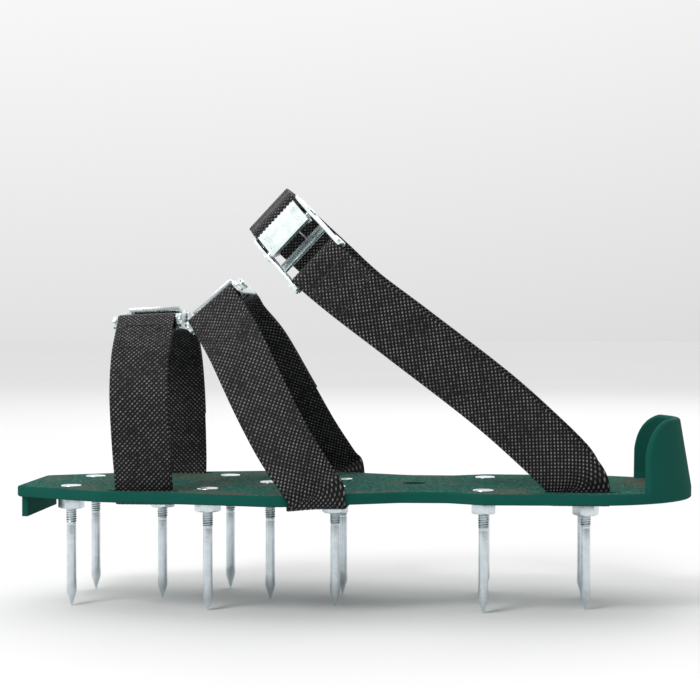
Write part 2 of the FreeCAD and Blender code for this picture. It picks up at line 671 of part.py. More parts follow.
def make_strap(name, strap, pierced):
    """One length of webbing with the holes that the spikes make in it."""
    solid = doc.addObject("Part::Feature", f"{name}_band")
    solid.Shape = ribbon(strap_route(strap), size("strap_thick"))
    holes = []
    for i, (x, y) in enumerate(pierced):
        hole = bind(doc.addObject("Part::Cylinder", f"{name}_hole_{i}"), Radius="Sizes.hole_round",
                    Height="8")
        hole.Placement = Placement(Vector(x, y, size("deck_under") - 6), Rotation())
        holes.append(hole)
    return cut(name, solid, joined(f"{name}_holes", *holes) if len(holes) > 1 else holes[0])


def make_spring(name, place):
    """Torsion spring on the hinge pin: one leg bears on the brace, the other under the lever."""
    pin_y, pin_z, wire = size("pin_y"), size("pin_z"), size("wire")
    radius, x = size("coil_round"), size("coil_x")
    foot_y, foot_z = size("brace_y") + 1.9, 0.25 + size("brace_thick") + wire / 2 + 0.05
    reach = math.hypot(pin_y - foot_y, pin_z - foot_z)
    start = math.atan2(pin_z - foot_z, pin_y - foot_y) + math.asin(radius / reach) + math.pi / 2
    path = [Vector(x, foot_y, foot_z)]
    end = math.pi - 2 * math.pi * size("coil_turns")
    steps = 14 * round(size("coil_turns"))
    for k in range(steps + 1):
        angle = start + (end - start) * k / steps
        shift = size("coil_pitch") * (start - angle) / (2 * math.pi)
        path.append(Vector(x - shift, pin_y + radius * math.cos(angle), pin_z + radius * math.sin(angle)))
    (rear_y, rear_z), (front_y, front_z) = LEVER_PLATE[:2]
    under_lever = rear_z + (front_z - rear_z) * (pin_y - radius - rear_y) / (front_y - rear_y)
    path.append(Vector(path[-1].x, pin_y - radius, under_lever - wire / 2 - 0.05))
    spring = doc.addObject("Part::Feature", name)
    spring.Shape = ribbon([(spot, Vector(wire / 2, 0, 0)) for spot in path], wire)
    spring.Placement = place
    return spring


# ---------------------------------------------------------------- the whole sandal

keep("sole_plate", joined("sole_plate_solid", make_deck(), make_toe_lip(), make_heel_cup()))
for number, (x, y, clamps_webbing) in enumerate(SPIKES, 1):
    keep(f"spike_{number:02d}", make_spike(f"spike_{number:02d}_solid", x, y))
    keep(f"nut_{number:02d}", make_nut(f"nut_{number:02d}_solid", x, y, clamps_webbing, 17 * number))
PIERCED = {"toe": [(-88, 0)], "middle": [(-8, -19), (-8, 19)], "heel": [(101, -20), (101, 20)]}
for which, strap in STRAPS.items():
    place = buckle_place(strap)
    keep(f"{which}_strap", make_strap(f"{which}_strap_solid", strap, PIERCED[which]))
    keep(f"{which}_buckle_frame", make_frame(f"{which}_frame_solid", place))
    keep(f"{which}_cam_lever", make_lever(f"{which}_lever_solid", place))
    keep(f"{which}_hinge_pin", make_pin(f"{which}_pin_solid", place))
    keep(f"{which}_cam_spring", make_spring(f"{which}_spring_solid", place))
doc.recompute()

for obj in doc.Objects:
    if {"Invalid", "Error"} & set(obj.State):
        raise RuntimeError(f"{obj.Name} ({obj.Label}) failed: {obj.State}")
os.makedirs("parts", exist_ok=True)
for name, obj in parts.items():
    shape = obj.Shape
    if shape.isNull() or not shape.isValid() or len(shape.Solids) != 1:
        raise RuntimeError(f"{name}: null, invalid or not one solid ({len(shape.Solids)})")
    shape.exportStep(f"parts/{name}.step")
print(len(parts), "parts written")
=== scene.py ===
import json
import math

import bmesh
import bpy
import numpy as np
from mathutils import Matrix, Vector


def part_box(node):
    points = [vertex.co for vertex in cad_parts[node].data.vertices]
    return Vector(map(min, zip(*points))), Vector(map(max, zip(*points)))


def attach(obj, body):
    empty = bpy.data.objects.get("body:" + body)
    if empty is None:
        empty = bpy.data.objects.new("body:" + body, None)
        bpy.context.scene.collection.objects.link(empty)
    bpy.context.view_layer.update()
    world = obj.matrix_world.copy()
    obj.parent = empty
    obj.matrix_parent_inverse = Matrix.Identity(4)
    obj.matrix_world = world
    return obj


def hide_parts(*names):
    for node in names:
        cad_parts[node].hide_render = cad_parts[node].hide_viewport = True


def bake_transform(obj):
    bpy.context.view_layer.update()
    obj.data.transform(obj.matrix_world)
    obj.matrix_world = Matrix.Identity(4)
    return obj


# Looks of a strap-on lawn aerator sandal: woven straps, thread, wire and turned spikes are modelled
# here, and the moulded and stamped parts are the frame's own with finer edges. Lengths are in
# millimetres up to the point where a mesh is made, which is in metres.

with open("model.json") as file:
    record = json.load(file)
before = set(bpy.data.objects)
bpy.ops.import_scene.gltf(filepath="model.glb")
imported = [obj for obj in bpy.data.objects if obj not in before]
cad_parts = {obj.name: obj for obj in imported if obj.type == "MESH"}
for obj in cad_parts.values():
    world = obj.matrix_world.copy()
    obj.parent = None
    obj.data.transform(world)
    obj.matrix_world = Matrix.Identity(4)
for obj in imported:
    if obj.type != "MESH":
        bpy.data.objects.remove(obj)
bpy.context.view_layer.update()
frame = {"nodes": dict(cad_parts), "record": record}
MM = 0.001

DECK_TOP = next(m["pos_m"][2] for m in frame["record"]["mounts"] if m["name"] == "footbed") / MM
DECK_THICK = 4.8
DECK_UNDER = DECK_TOP - DECK_THICK

# webbing: a float is the length of yarn that shows on one face, and the mesh has FLOAT_STEPS rows in it
STRAP_WIDE, STRAP_THICK, STRAP_GAP = 25.0, 1.5, 0.15
YARN_COLUMNS = 24
YARN_WIDE = STRAP_WIDE / YARN_COLUMNS
FLOAT_LONG = 2.1
FLOAT_STEPS = 4
WEAVE_DEEP = 0.3
SELVEDGE_HALF = 0.3
PIERCED_ROUND = 2.55

# sewn lap and free tail: their gaps to the layer below, and how far the gap at the turn lasts and fades
LAP_LONG, LAP_GAP, LAP_FADE = 27.0, 0.1, 13.0
TAIL_GAP, TAIL_HOLD, TAIL_FADE = 0.4, 6.0, 10.0
STITCH_LONG, STITCH_ROUND, STITCH_PITCH = 1.15, 0.3, 2.9
STITCH_INSET, STITCH_SUNK = 2.6, 0.12
BOX_FROM_END, BOX_FROM_BAR = 3.0, 7.5

# buckle, in its own frame: x across, y along the webbing, z away from the foot
# (y, z, radius) of the bar and the grip lip, (y, z) of the pin and of the top of the brace
BAR = (-16.5, 3.6, 2.0)
LIP = (13.5, 3.4, 1.2)
TURN_PLAY = 0.25
PIN = (5.6, 5.7)
BRACE = (-3.6, 1.65)
WIRE_FOOT_Y = BRACE[0] + 1.9
WIRE_PLAY = 0.05
WIRE_ROUND, COIL_ROUND, COIL_PITCH, COIL_TURNS, COIL_X = 0.35, 1.95, 0.95, 4, 4.0
LEVER_UNDER_REAR, LEVER_UNDER_FRONT = (-0.7, 9.05), (16.3, 6.7)
LEVER_TOP_REAR, LEVER_TOP_FRONT = (-0.5, 10.55), (16.5, 8.2)
LEVER_HALF_WIDE, RIB_ROUND, RIB_STEPS = 11.3, 0.28, 12
RIBS = ((1.9, 1.0), (3.3, 0.8))  # inset from the plate's end and bow of each pressed arc

# how much the hard edges of the CAD solids are broken
EDGE_FRAME, EDGE_LEVER, EDGE_PIN, EDGE_NUT = 0.28, 0.16, 0.25, 0.18

# spikes
HEAD_TOP, HEAD_UNDER, HEAD_ROUND = 53.2, 51.65, 4.7
THREAD_CREST, THREAD_ROOT, THREAD_START, THREAD_PITCH = 2.35, 2.0, 36.0, 1.0
SHANK_ROUND, SHANK_START, TIP_ROUND, TIP_LONG = 2.1, 12.0, 2.2, 6.4
HEAD_SOFT, HEAD_EDGE, HEAD_DOME, THREAD_RUN_IN = 0.35, 0.55, 0.5, 1.2
SPIKE_SIDES, SPIKE_COUNT = 28, 12

# plate outline points that the straps need
TOE_SLOT, HEEL_SLOT, SLOT_WIDE = (-87.7, 46.2), (98.0, 38.2), 4.0
BALL_REAR, WAIST, WAIST_FOLD_X = (-26.0, 65.0), (22.0, 43.0), -12.4

# Each strap: the buckle's seat above the deck, its along and across directions, the leg's middle line
# from the buckle down (x, distance from the centre line, height above the deck, across direction on
# the near side), and the points that the far side adds over the crown.
STRAPS = {
    "toe": {
        "seat": (-90.4, -4.3, 67.9), "along": (0, 0.999, -0.04), "across": (1, 0, 0.045),
        "leg": [
            (-90.3, 33.0, 66.6, (1, 0, 0.04)), (-89.8, 43.5, 56.4, (1, 0, 0.03)),
            (-89.3, 49.2, 41.0, (1, 0, 0.02)), (-88.5, 49.0, 22.0, (1, 0, 0.01)),
            (-87.8, 46.7, 6.0, (1, 0, 0)),
        ],
        "crown": [(-90.4, 25.0, 68.6, (1, 0, 0.04))],
        "slot": TOE_SLOT, "tail": 70, "pierced": [(-88, 0)],
    },
    "middle": {
        "seat": (-57.8, -6.1, 75.7), "along": (0.03, 0.999, 0), "across": (0.755, 0, 0.655),
        "leg": [
            (-55.4, 32.5, 71.0, (0.80, 0.05, 0.60)), (-47.6, 43.0, 60.0, (0.86, 0.10, 0.50)),
            (-36.3, 52.0, 39.0, (0.89, 0.20, 0.41)), (-25.5, 57.3, 20.0, (0.90, 0.30, 0.30)),
            (-14.2, 60.5, 3.5, (0.91, 0.39, 0.12)),
        ],
        "crown": [(-57.6, 24.0, 76.6, (0.77, 0.02, 0.64))],
        "slot": None, "tail": 75, "pierced": [(-8, -19), (-8, 19)],
    },
    "heel": {
        "seat": (-21.9, -20.1, 104.8), "along": (-0.546, 0.609, 0.574), "across": (0.69, -0.06, 0.72),
        "leg": [
            (0, 39.8, 84.8, (0.66, 0, 0.75)), (23, 41.3, 67.4, (0.656, 0, 0.755)),
            (59.3, 41.3, 39.5, (0.66, 0, 0.75)), (82.7, 40.0, 18.8, (0.72, 0, 0.69)),
            (96.4, 38.5, 5.0, (0.95, 0, 0.31)),
        ],
        "crown": [
            (-38.6, 4.0, 121.4, (0.68, -0.02, 0.73)), (-35.6, 17.0, 118.8, (0.68, 0, 0.73)),
            (-27, 28.0, 110.2, (0.67, 0, 0.74)), (-14.5, 35.6, 98.3, (0.66, 0, 0.75)),
        ],
        "slot": HEEL_SLOT, "tail": 90, "pierced": [(101, -20), (101, 20)],
    },
}


# ---------------------------------------------------------------- node graphs


class Graph:
    """Short way to write a material's nodes."""

    def __init__(self, name):
        self.material = bpy.data.materials.new(name)
        self.material.use_nodes = True
        self.tree = self.material.node_tree
        self.shader = self.tree.nodes["Principled BSDF"]

    def add(self, kind, inputs=None, **settings):
        """New node; inputs holds constants or output sockets by name or number."""
        node = self.tree.nodes.new(kind)
        for key, value in settings.items():
            setattr(node, key, value)
        for key, value in (inputs or {}).items():
            self.put(node.inputs[key], value)
        return node

    def put(self, socket, value):
        if isinstance(value, bpy.types.NodeSocket):
            self.tree.links.new(value, socket)
        else:
            socket.default_value = value

    def math(self, operation, a, b=0.0):
        return self.add("ShaderNodeMath", {0: a, 1: b}, operation=operation).outputs[0]

    def band(self, value, low, high):
        """0 below low, 1 above high, smooth between."""
        node = self.add("ShaderNodeMapRange", {"Value": value, "From Min": low, "From Max": high},
                        interpolation_type="SMOOTHSTEP")
        return node.outputs["Result"]

    def noise(self, where, scale, detail=2.0, roughness=0.5):
        node = self.add("ShaderNodeTexNoise", {"Vector": where, "Scale": scale, "Detail": detail,
                                               "Roughness": roughness})
        return node.outputs["Fac"]

    def mix(self, amount, a, b):
        """Colour between a and b."""
        node = self.add("ShaderNodeMix", data_type="RGBA")
        for key, value in (("Factor_Float", amount), ("A_Color", a), ("B_Color", b)):
            self.put(next(s for s in node.inputs if s.identifier == key), value)
        return next(s for s in node.outputs if s.identifier == "Result_Color")

    def bump(self, height, depth, normal=None):
        """Normal from a height of 0 to 1 that stands for depth in metres."""
        inputs = {"Height": height, "Distance": depth, "Strength": 1.0}
        if normal:
            inputs["Normal"] = normal
        return self.add("ShaderNodeBump", inputs).outputs["Normal"]

    def place(self):
        return self.add("ShaderNodeTexCoord").outputs["Object"]

    def finish(self, **sockets):
        """Sets the shader's sockets; an underscore in a name stands for a space."""
        for key, value in sockets.items():
            self.put(self.shader.inputs[key.replace("_", " ")], value)
        return self.material


def plastic_material():
    """Moulded green plastic: stippled footbed with dried soil in the grain, smooth glossy rim and cup,
    matt toe lip and underside."""
    g = Graph("green_plastic")
    where = g.place()
    height = g.add("ShaderNodeSeparateXYZ", {0: where}).outputs["Z"]
    facing = g.add("ShaderNodeSeparateXYZ", {0: g.add("ShaderNodeNewGeometry").outputs["Normal"]})
    level = g.band(facing.outputs["Z"], 0.90, 0.99)
    low = g.math("SUBTRACT", 1.0, g.band(height, (DECK_TOP + 1) * MM, (DECK_TOP + 2) * MM))
    footbed = g.math("MULTIPLY", level, low)

    cloud = g.noise(where, 14, 4, 0.6)
    patch = g.band(g.noise(where, 26, 5, 0.65), 0.44, 0.60)
    speck = g.band(g.noise(where, 900, 2, 0.55), 0.42, 0.62)
    soil = g.math("MULTIPLY", g.math("MULTIPLY", patch, footbed),
                  g.math("ADD", 0.25, g.math("MULTIPLY", speck, 0.65)))
    green = g.mix(cloud, (0.0035, 0.066, 0.050, 1), (0.0065, 0.094, 0.071, 1))
    dark_bed, pale_bed = (0.005, 0.055, 0.042, 1), (0.034, 0.165, 0.126, 1)
    colour = g.mix(footbed, green, g.mix(speck, dark_bed, pale_bed))
    colour = g.mix(soil, colour, (0.125, 0.100, 0.075, 1))
    scuff = g.band(g.noise(where, 260, 6, 0.75), 0.66, 0.74)
    colour = g.mix(g.math("MULTIPLY", scuff, 0.22), colour, (0.06, 0.20, 0.16, 1))

    grain = g.math("MULTIPLY", g.noise(where, 900, 3, 0.6), footbed)
    haze = g.noise(where, 90, 4, 0.6)
    matt = g.math("SUBTRACT", 1.0, g.band(height, DECK_UNDER - 1 * MM, DECK_UNDER - 0.1 * MM))
    rough = g.math("ADD", g.math("MULTIPLY", haze, 0.14), g.math("MULTIPLY", footbed, 0.38))
    rough = g.math("ADD", rough, g.math("ADD", 0.20, g.math("MULTIPLY", soil, 0.25)))
    rough = g.math("ADD", rough, g.math("MULTIPLY", matt, 0.70))
    edge = g.add("ShaderNodeBevel", {"Radius": 0.35 * MM}, samples=6).outputs["Normal"]
    fine = g.bump(g.noise(where, 420, 3, 0.5), 0.03 * MM, edge)
    normal = g.bump(grain, 0.7 * MM, fine)
    return g.finish(Base_Color=colour, Roughness=rough, Normal=normal, Specular_IOR_Level=0.13)


def zinc_material(name, tone, shine, drawn):
    """Bright zinc over steel: bluish, with a faint mottle and fine marks drawn along Z or all over."""
    g = Graph(name)
    where = g.place()
    mottle = g.noise(where, 260, 4, 0.6)
    dull = tuple(c * 0.86 for c in tone)
    colour = g.mix(g.band(mottle, 0.35, 0.65), (*dull, 1), (*tone, 1))
    smudge = g.band(g.noise(where, 55, 5, 0.7), 0.56, 0.74)
    dirty = (tone[0] * 0.5, tone[1] * 0.47, tone[2] * 0.42, 1)
    colour = g.mix(g.math("MULTIPLY", smudge, 0.22), colour, dirty)
    stretched = g.add("ShaderNodeMapping", {"Vector": where, "Scale": drawn}).outputs[0]
    lines = g.noise(stretched, 900, 3, 0.6)
    rough = g.math("ADD", shine, g.math("MULTIPLY", g.math("ADD", mottle, lines), 0.10))
    normal = g.bump(lines, 0.02 * MM)
    normal = g.bump(g.noise(where, 500, 2, 0.5), 0.02 * MM, normal)
    return g.finish(Base_Color=colour, Metallic=1.0, Roughness=rough, Normal=normal)


def webbing_material():
    """Black polypropylene webbing with painted light: a pale slanted glint, a painted highlight whose
    strength differs from float to float, at each float's crest, and painted shade on its flanks and
    gaps."""
    g = Graph("webbing")
    at = g.add("ShaderNodeSeparateXYZ", {0: g.add("ShaderNodeUVMap", uv_map="weave").outputs[0]})
    across, along = at.outputs["X"], at.outputs["Y"]
    column = g.math("FLOOR", g.math("DIVIDE", across, YARN_WIDE))
    offset = g.math("SUBTRACT", g.math("FRACT", g.math("DIVIDE", across, YARN_WIDE)), 0.5)
    stagger = g.math("MULTIPLY", g.math("FLOORED_MODULO", column, 2.0), 0.5)
    slant = g.math("MULTIPLY", offset, 0.16)
    phase = g.math("ADD", g.math("DIVIDE", along, FLOAT_LONG), g.math("ADD", stagger, slant))
    crest = g.math("COSINE", g.math("MULTIPLY", phase, 2 * math.pi))
    centred = g.math("ABSOLUTE", offset)
    row = g.math("FLOOR", g.math("ADD", phase, 0.5))
    cell = g.add("ShaderNodeCombineXYZ", {0: column, 1: row, 2: 0.5}).outputs[0]
    own = g.add("ShaderNodeTexWhiteNoise", {"Vector": cell}, noise_dimensions="3D").outputs["Value"]

    # painted highlight: a pale slanted glint painted into the colour at each float's crest, kept off
    # the flanks, its strength varying from float to float and with a noise
    flank = g.math("SUBTRACT", 1.0, g.band(centred, 0.22, 0.46))
    painted_glint_mask = g.math("MULTIPLY", g.band(crest, 0.35, 0.95), flank)
    shade = g.band(g.noise(g.place(), 70, 3, 0.6), 0.25, 0.75)
    glint = g.math("ADD", g.math("MULTIPLY", own, 0.60), g.math("MULTIPLY", shade, 0.40))
    painted_glint = g.math("MULTIPLY", painted_glint_mask, glint)
    # painted shade: crests get the lighter black, and the flanks and the gaps between yarns get the
    # darker black
    crown = g.math("SUBTRACT", 1.0, g.band(centred, 0.25, 0.5))
    painted_crest_light = g.math("MULTIPLY", g.band(crest, -0.9, 0.3), crown)
    colour = g.mix(painted_crest_light, (0.0018, 0.0017, 0.0020, 1), (0.0095, 0.0088, 0.0100, 1))
    dust = g.band(g.noise(g.place(), 45, 4, 0.6), 0.52, 0.75)
    colour = g.mix(g.math("MULTIPLY", dust, 0.08), colour, (0.05, 0.045, 0.04, 1))
    # painted highlight: the pale glint colour laid over the webbing's colour
    colour = g.mix(painted_glint, colour, (0.27, 0.26, 0.27, 1))

    twist = g.math("ADD", g.math("MULTIPLY", across, 14.0), g.math("MULTIPLY", along, 9.0))
    fibres = g.math("ADD", 0.5, g.math("MULTIPLY", g.math("SINE", twist), 0.5))
    return g.finish(Base_Color=colour, Roughness=0.5, Normal=g.bump(fibres, 0.05 * MM),
                    Specular_IOR_Level=0.18)


def thread_material():
    """Bonded sewing thread, black with a slight sheen."""
    g = Graph("sewing_thread")
    shade = g.noise(g.place(), 900, 2, 0.5)
    colour = g.mix(shade, (0.006, 0.006, 0.007, 1), (0.035, 0.034, 0.037, 1))
    return g.finish(Base_Color=colour, Roughness=0.42, Normal=g.bump(shade, 0.05 * MM))


def wire_material():
    """Drawn spring wire, darker than the zinc round it."""
    g = Graph("spring_wire")
    mottle = g.noise(g.place(), 800, 3, 0.6)
    colour = g.mix(mottle, (0.30, 0.31, 0.33, 1), (0.52, 0.53, 0.55, 1))
    rough = g.math("ADD", 0.22, g.math("MULTIPLY", mottle, 0.15))
    return g.finish(Base_Color=colour, Metallic=1.0, Roughness=rough)


def floor_material():
    """Matt pale studio floor."""
    g = Graph("studio_floor")
    tone = g.noise(g.place(), 3, 2, 0.5)
    colour = g.mix(tone, (0.80, 0.80, 0.80, 1), (0.83, 0.83, 0.83, 1))
    return g.finish(Base_Color=colour, Roughness=0.85, Specular_IOR_Level=0.1)


PLASTIC = plastic_material()
ZINC_SPIKE = zinc_material("zinc_spike", (0.70, 0.77, 0.81), 0.15, (1, 1, 0.05))
ZINC_BUCKLE = zinc_material("zinc_buckle", (0.80, 0.87, 0.88), 0.15, (1, 1, 1))
WEBBING = webbing_material()
THREAD = thread_material()
WIRE = wire_material()


# ---------------------------------------------------------------- meshes


def add_piece(name, points, faces, material, body="root", node=None):
    """Mesh piece from points in millimetres, riding on a body if one is named and standing for a CAD
    node if one is named."""
    mesh = bpy.data.meshes.new(name)
    mesh.from_pydata([tuple(p) for p in np.asarray(points, float) * MM], [], faces)
    mesh.update()
    mesh.materials.append(material)
    mesh.shade_smooth()
    piece = bpy.data.objects.new(name, mesh)
    bpy.context.scene.collection.objects.link(piece)
    if body:
        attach(piece, body)
    if node:
        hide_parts(node)
    return piece


def paint(node, material):
    mesh = frame["nodes"][node].data
    mesh.materials.clear()
    mesh.materials.append(material)


def softened(node, width, material, body="root"):
    """Copy of a rigid CAD node with its hard edges broken, as on a stamped or turned part."""
    copy = bpy.data.objects.new(f"{node}_finished", frame["nodes"][node].data.copy())
    bpy.context.scene.collection.objects.link(copy)
    mesh = copy.data
    work = bmesh.new()
    work.from_mesh(mesh)
    bmesh.ops.remove_doubles(work, verts=work.verts, dist=0.002 * MM)
    bmesh.ops.dissolve_limit(work, angle_limit=math.radians(1), verts=work.verts, edges=work.edges)
    hard = [e for e in work.edges if len(e.link_faces) == 2
            and e.calc_face_angle(0) > math.radians(35)]
    bmesh.ops.bevel(work, geom=hard, offset=width * MM, segments=2, profile=0.6, affect="EDGES",
                    clamp_overlap=True)
    bmesh.ops.triangulate(work, faces=[f for f in work.faces if len(f.verts) > 4])
    for face in work.faces:
        face.smooth = True
    work.to_mesh(mesh)
    work.free()
    if mesh.has_custom_normals:
        mesh.attributes.remove(mesh.attributes["custom_normal"])
    mesh.set_sharp_from_angle(angle=math.radians(38))
    mesh.materials.clear()
    mesh.materials.append(material)
    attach(copy, body)
    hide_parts(node)


def tube(path, radius, sides=10):
    """Points and faces of a round tube with closed ends along a list of Vectors."""
    points, faces = [], []
    normal = (path[1] - path[0]).orthogonal().normalized()
    for i, spot in enumerate(path):
        run = (path[min(i + 1, len(path) - 1)] - path[max(i - 1, 0)]).normalized()
        normal = (normal - run * normal.dot(run)).normalized()
        other = run.cross(normal)
        for k in range(sides):
            a = 2 * math.pi * k / sides
            points.append(spot + normal * (radius * math.cos(a)) + other * (radius * math.sin(a)))
        if i:
            low = (i - 1) * sides
            faces += [(low + k, low + (k + 1) % sides, low + sides + (k + 1) % sides, low + sides + k)
                      for k in range(sides)]
    last = (len(path) - 1) * sides
    faces.append(tuple(reversed(range(sides))))
    faces.append(tuple(range(last, last + sides)))
    return points, faces


# ---------------------------------------------------------------- routes of the straps


class Buckle:
    """Where a strap's buckle is: x across, y along the webbing towards the lip, z away from
    the foot."""

    def __init__(self, strap):
        self.along = Vector(strap["along"]).normalized()
        self.out = Vector(strap["across"]).cross(self.along).normalized()
        self.across = self.along.cross(self.out)
        self.seat = Vector(strap["seat"]) + Vector((0, 0, DECK_TOP))

    def at(self, x, y, z):
        return self.seat + self.across * x + self.along * y + self.out * z


def smooth(points, step=1.5):
    """Catmull-Rom curve through (centre, side) pairs; the first and last pair only steer it."""
    out = []
    for before, a, b, after in zip(points, points[1:], points[2:], points[3:]):
        count = max(2, round((b[0] - a[0]).length / step))
        for k in range(count):
            t = k / count
            out.append(tuple(
                (a[i] * 2 + (b[i] - before[i]) * t
                 + (before[i] * 2 - a[i] * 5 + b[i] * 4 - after[i]) * t ** 2
                 + (a[i] * 3 - before[i] - b[i] * 3 + after[i]) * t ** 3) * 0.5
                for i in (0, 1)
            ))
    out.append(points[-2])
    return out


def layer(stations, first_way, start_gap, gap, hold, fade, length):
    """Copy of a band moved off it: by start_gap at first, then fading to gap."""
    out, run = [], 0
    for i, (centre, side) in enumerate(stations):
        if i:
            run += (centre - stations[i - 1][0]).length
        if run > length:
            break
        step = stations[min(i + 1, len(stations) - 1)][0] - stations[max(i - 1, 0)][0]
        way = side.cross(step).normalized() if i else first_way
        t = min(1, max(0, (run - hold) / fade))
        off = start_gap + (gap - start_gap) * t * t * (3 - 2 * t)
        out.append((centre + way * off, side))
    return out


def half_turn(centre, away, out, radius, side, steps=14):
    """Webbing round a bar, from its foot side to its outer side; both ends leave along away."""
    angles = [math.pi * k / steps for k in range(1, steps)]
    return [(centre - out * (radius * math.cos(a)) - away * (radius * math.sin(a)), side)
            for a in angles]


def fold(corner, inward, side, steps=8):
    """Quarter turn round the deck's lower edge, from the side of the deck to under it."""
    inset, radius = 0.3, 0.3 + STRAP_GAP + STRAP_THICK / 2
    centre = corner + inward * inset + Vector((0, 0, inset))
    angles = [math.pi / 2 * k / steps for k in range(steps + 1)]
    return [(centre - inward * (radius * math.cos(a)) - Vector((0, 0, radius * math.sin(a))), side)
            for a in angles]


def deck_corner(strap):
    """Lower edge of the deck that the near leg turns round: the point, its inward way, its run."""
    if strap["slot"]:
        x, y = strap["slot"]
        return Vector((x, SLOT_WIDE / 2 - y, DECK_UNDER)), Vector((0, 1, 0)), Vector((1, 0, 0))
    run = Vector((WAIST[0] - BALL_REAR[0], BALL_REAR[1] - WAIST[1], 0)).normalized()
    y = -BALL_REAR[1] + (WAIST_FOLD_X - BALL_REAR[0]) * run.y / run.x
    return Vector((WAIST_FOLD_X, y, DECK_UNDER)), Vector((-run.y, run.x, 0)), run


def mirrored(stations):
    """Near side to far side."""
    return [tuple(Vector((v.x, -v.y, v.z)) for v in station) for station in stations]


def strap_route(strap):
    """Stations of one strap, from its sewn end, round the bar, under the deck, to its free tail, and
    the lengths along it at which the sewn lap starts and the bar's turn ends."""
    buckle, lift = Buckle(strap), Vector((0, 0, DECK_TOP))
    across, along, out = buckle.across, buckle.along, buckle.out
    bar, lip = buckle.at(0, BAR[0], BAR[1]), buckle.at(0, LIP[0], LIP[1])
    bar_turn = BAR[2] + TURN_PLAY + STRAP_THICK / 2
    lip_turn = LIP[2] + TURN_PLAY + STRAP_THICK / 2

    leg = [(Vector((x, -y, z)) + lift, Vector(side)) for x, y, z, side in strap["leg"]]
    crown = [(Vector((x, -y, z)) + lift, Vector(side)) for x, y, z, side in strap["crown"]]
    corner, inward, run = deck_corner(strap)
    edge = fold(corner, inward, run)
    landing = [(edge[0][0] + Vector((0, 0, 4)), run), edge[0], edge[1]]

    down = leg[0][0] - bar
    down = (down - across * down.dot(across)).normalized()
    outward = down.cross(across)
    near_top = bar + outward * bar_turn
    near = smooth([(near_top - down * 4, across), (near_top, across)] + leg + landing)[:-1] + edge[:-1]
    far_top = lip - out * lip_turn
    far = smooth([(far_top + along * shift, across) for shift in (-4, 0, 4.5, 9)]
                 + mirrored(crown + leg + landing))[:-1] + mirrored(edge[:-1])
    under = [edge[-1], (Vector((edge[-1][0].x, 0.6 * edge[-1][0].y, edge[-1][0].z)), Vector((1, 0, 0)))]
    under += mirrored(under[::-1])

    sewn = layer(near, -outward, 2 * bar_turn, STRAP_THICK + LAP_GAP, 0, LAP_FADE, LAP_LONG)
    tail = layer(far, out, 2 * lip_turn, STRAP_THICK + TAIL_GAP, TAIL_HOLD, TAIL_FADE, strap["tail"])
    turn = half_turn(bar, down, outward, bar_turn, across)
    route = sewn[::-1] + turn + near + under
    route += far[::-1] + half_turn(lip, along, out, lip_turn, across) + tail
    return route, len(sewn), len(sewn) + len(turn)


def as_arrays(route):
    """Centres and unit side vectors of a route as arrays."""
    centre = np.array([c for c, _ in route], float)
    side = np.array([s.normalized() for _, s in route], float)
    return centre, side


def evenly(centre, side, step, passes=6):
    """Route resampled at an even step, eased over its joins, and its frames of side, run and normal."""
    run = np.r_[0, np.cumsum(np.linalg.norm(np.diff(centre, axis=0), axis=1))]
    count = int(run[-1] / step) + 1
    marks = np.linspace(0, run[-1], count)
    spot = np.column_stack([np.interp(marks, run, centre[:, k]) for k in range(3)])
    way = np.column_stack([np.interp(marks, run, side[:, k]) for k in range(3)])
    for _ in range(passes):
        spot[1:-1] = spot[1:-1] * 0.5 + (spot[:-2] + spot[2:]) * 0.25
    for _ in range(20):
        way[1:-1] = way[1:-1] * 0.5 + (way[:-2] + way[2:]) * 0.25
    tangent = np.gradient(spot, axis=0)
    tangent /= np.linalg.norm(tangent, axis=1)[:, None]
    way -= tangent * (way * tangent).sum(1)[:, None]
    way /= np.linalg.norm(way, axis=1)[:, None]
    return spot, way, np.cross(tangent, way), marks


def weave_height(marks, flip):
    """Height of the webbing's face over its middle, one row per mark and one column per line of the
    grid, where the lines run along the middles of the yarns and between them."""
    line = np.arange(2 * YARN_COLUMNS + 1)
    on_yarn = line % 2
    stagger = (line // 2 + flip) % 2 * 0.5
    crest = 0.5 + 0.5 * np.cos(2 * math.pi * (marks[:, None] / FLOAT_LONG + stagger))
    height = STRAP_THICK / 2 - WEAVE_DEEP + WEAVE_DEEP * on_yarn * (0.25 + 0.75 * crest)
    edge = np.minimum(line, 2 * YARN_COLUMNS - line)
    height = np.where(edge == 0, SELVEDGE_HALF, height)
    return np.where(edge == 1, height * 0.88, height)


